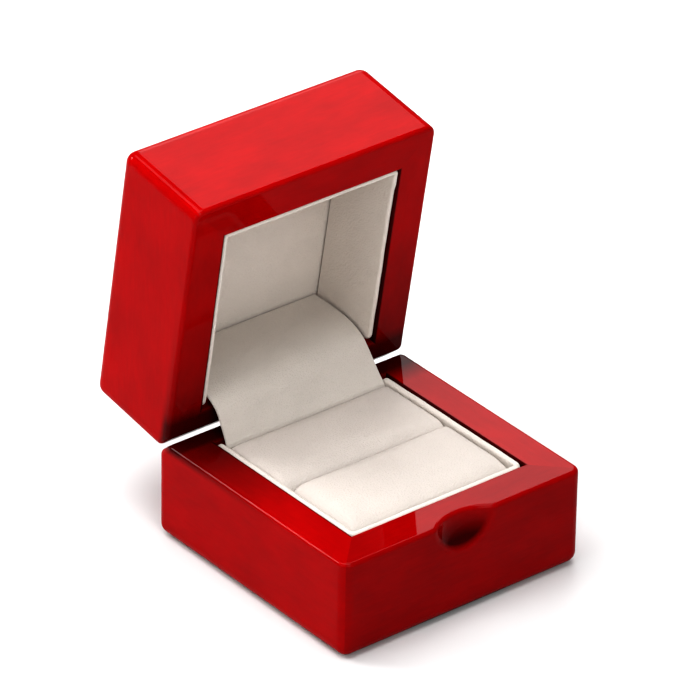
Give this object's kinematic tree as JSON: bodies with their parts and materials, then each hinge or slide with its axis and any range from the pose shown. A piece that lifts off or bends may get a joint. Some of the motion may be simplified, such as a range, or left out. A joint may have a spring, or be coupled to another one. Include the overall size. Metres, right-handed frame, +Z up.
{
  "type": "ring box",
  "caption": "Small lacquered wooden ring box with a hinged lid, leatherette lining and a slotted ring cushion, shown open.",
  "frame": {"origin": "centre of the box's underside, on the surface it stands on", "axes": "+Z up; -Y towards the front, where the thumb scoop is; the hinge line runs along X at the back"},
  "size_m": [0.06, 0.0803, 0.0819],
  "materials": {
    "lacquer": "red piano lacquer over wood, high gloss",
    "leatherette": "cream leatherette, fine grain, satin",
    "cushion": "cream leatherette, fine grain, soft, satin",
    "board": "grey board, matt",
    "felt": "black felt, matt",
    "hinge_metal": "brass plated, satin",
    "spring_steel": "spring steel"
  },
  "bodies": {
    "base": {"base_front_rail": "lacquer", "base_back_rail": "lacquer", "base_left_rail": "lacquer", "base_right_rail": "lacquer", "base_floor_panel": "lacquer", "base_felt_pad": "felt", "base_lining_front": "leatherette", "base_lining_left": "leatherette", "base_lining_right": "leatherette", "cushion_board": "board", "cushion_front_pad": "cushion", "cushion_rear_pad": "cushion", "hinge_base_leaf": "hinge_metal", "hinge_pin": "hinge_metal", "hinge_spring": "spring_steel", "base_hinge_screws": "hinge_metal", "hinge_cover": "leatherette"},
    "lid": {"lid_front_rail": "lacquer", "lid_back_rail": "lacquer", "lid_left_rail": "lacquer", "lid_right_rail": "lacquer", "lid_top_panel": "lacquer", "lid_lining_front": "leatherette", "lid_lining_left": "leatherette", "lid_lining_right": "leatherette", "lid_lining_ceiling": "leatherette", "hinge_lid_leaf": "hinge_metal", "lid_hinge_screws": "hinge_metal"}
  },
  "joints": [
    {"name": "lid_hinge", "type": "hinge", "parent": "base", "child": "lid", "pos_m": [0, 0.0269, 0.0223], "axis": [1, 0, 0], "range_deg": [0, 80.6], "deforming": ["hinge_cover"]}
  ]
}
